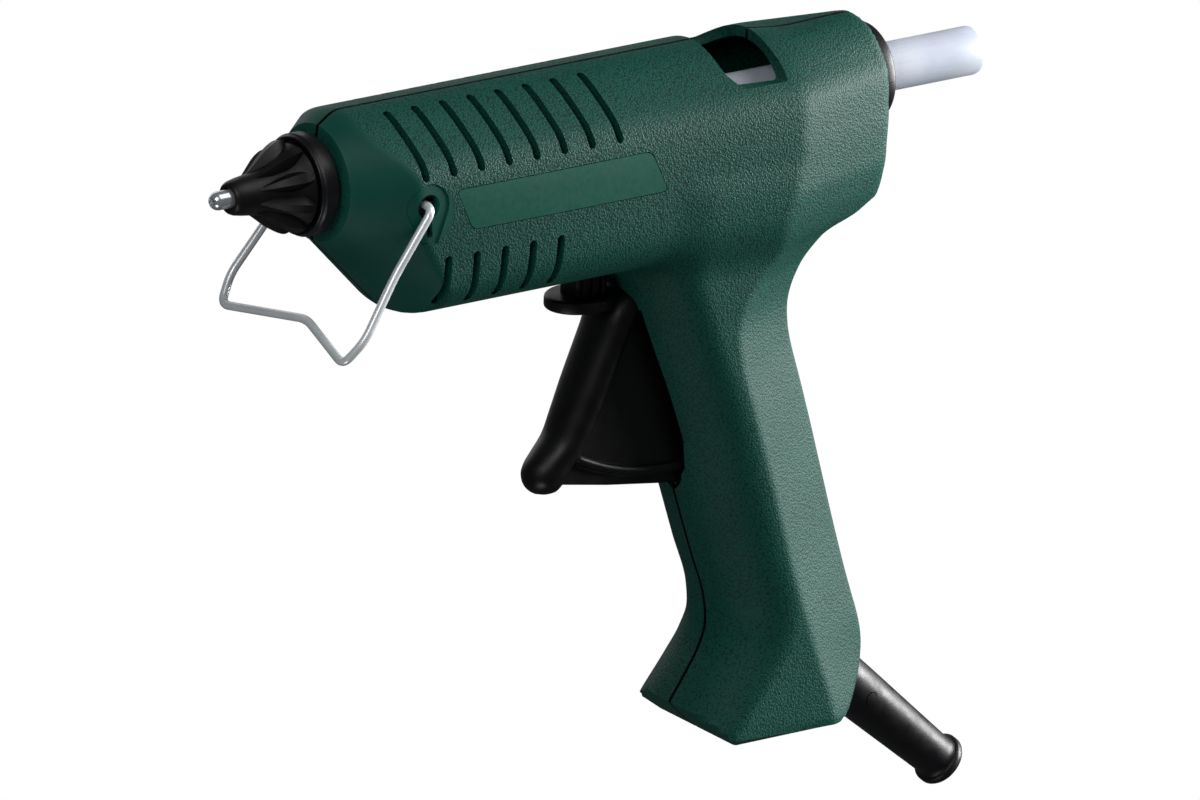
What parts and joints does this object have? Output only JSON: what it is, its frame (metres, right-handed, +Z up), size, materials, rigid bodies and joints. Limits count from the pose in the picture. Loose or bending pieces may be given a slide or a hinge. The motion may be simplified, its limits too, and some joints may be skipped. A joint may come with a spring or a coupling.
{
  "type": "glue gun",
  "caption": "Mains hot-melt glue gun with a green two-part pistol housing, black trigger and nozzle cap, folding wire stand and a glue stick in the feed.",
  "frame": {"origin": "middle of the footprint of the whole part on the surface that it stands on, with the wire stand's feet and the grip's heel touching it", "axes": "+Z up; the nozzle points towards -X and 43 degrees down; +Y is the gun's right side and -Y its left side"},
  "size_m": [0.2762, 0.0518, 0.1605],
  "materials": {
    "housing": "leather-grained green plastic",
    "badge": "smooth green plastic",
    "black_plastic": "satin black plastic",
    "trigger_plastic": "satin black plastic with fine grain",
    "cap_rubber": "smooth black rubber",
    "nozzle_metal": "bright turned",
    "chamber_metal": "die cast",
    "steel": "zinc plated",
    "stand_wire": "zinc plated wire",
    "brass": "machined",
    "ceramic": "unglazed",
    "terminal_plastic": "moulded",
    "sleeve_silicone": "silicone",
    "glue": "milky translucent"
  },
  "bodies": {
    "housing": {"left_housing": "housing", "right_housing": "housing", "left_badge": "badge", "right_badge": "badge", "front_collar": "black_plastic", "nozzle": "nozzle_metal", "nozzle_cap": "cap_rubber", "melt_chamber": "chamber_metal", "heater_element": "ceramic", "front_support_ring": "ceramic", "rear_support_ring": "ceramic", "inlet_sleeve": "sleeve_silicone", "sleeve_clamp": "steel", "trigger_pin": "steel", "return_spring": "steel", "rear_bush": "black_plastic", "bend_protector": "cap_rubber", "cord_clamp": "black_plastic", "cord_clamp_screw_1": "steel", "cord_clamp_screw_2": "steel", "terminal_block": "terminal_plastic", "terminal_screw_1": "brass", "terminal_screw_2": "brass", "live_lead": "sleeve_silicone", "neutral_lead": "cap_rubber", "front_screw": "steel", "middle_screw": "steel", "rear_screw": "steel", "grip_screw": "steel", "heel_screw": "steel"},
    "trigger": {"trigger": "trigger_plastic"},
    "carriage": {"feed_carriage": "black_plastic", "pawl_pin": "steel"},
    "pawl": {"grip_pawl": "steel"},
    "stick": {"glue_stick": "glue"},
    "stand": {"wire_stand": "stand_wire"}
  },
  "joints": [
    {"name": "trigger_squeeze", "type": "hinge", "parent": "housing", "child": "trigger", "pos_m": [-0.02444, 0, 0.08002], "axis": [0, -1, 0], "range_deg": [0, 15], "stiffness_Nm_per_rad": 1, "springref_deg": -5.73, "deforming": ["return_spring"]},
    {"name": "carriage_feed", "type": "slide", "parent": "housing", "child": "carriage", "axis": [-0.7314, 0, -0.682], "range_m": [0, 0.0075]},
    {"name": "pawl_bite", "type": "hinge", "parent": "carriage", "child": "pawl", "pos_m": [-0.03276, 0, 0.09481], "axis": [0, 1, 0], "range_deg": [0, 6]},
    {"name": "stick_slide", "type": "slide", "parent": "housing", "child": "stick", "axis": [0.7314, 0, 0.682], "range_m": [-0.03, 0.1]},
    {"name": "stand_fold", "type": "hinge", "parent": "housing", "child": "stand", "pos_m": [-0.10365, 0, 0.04033], "axis": [0, -1, 0], "range_deg": [-20, 42]}
  ],
  "couplings": [
    {"joint": "carriage_feed", "follows": "trigger_squeeze", "m_per_rad": 0.0271},
    {"joint": "pawl_bite", "follows": "trigger_squeeze", "ratio": 0.3}
  ]
}
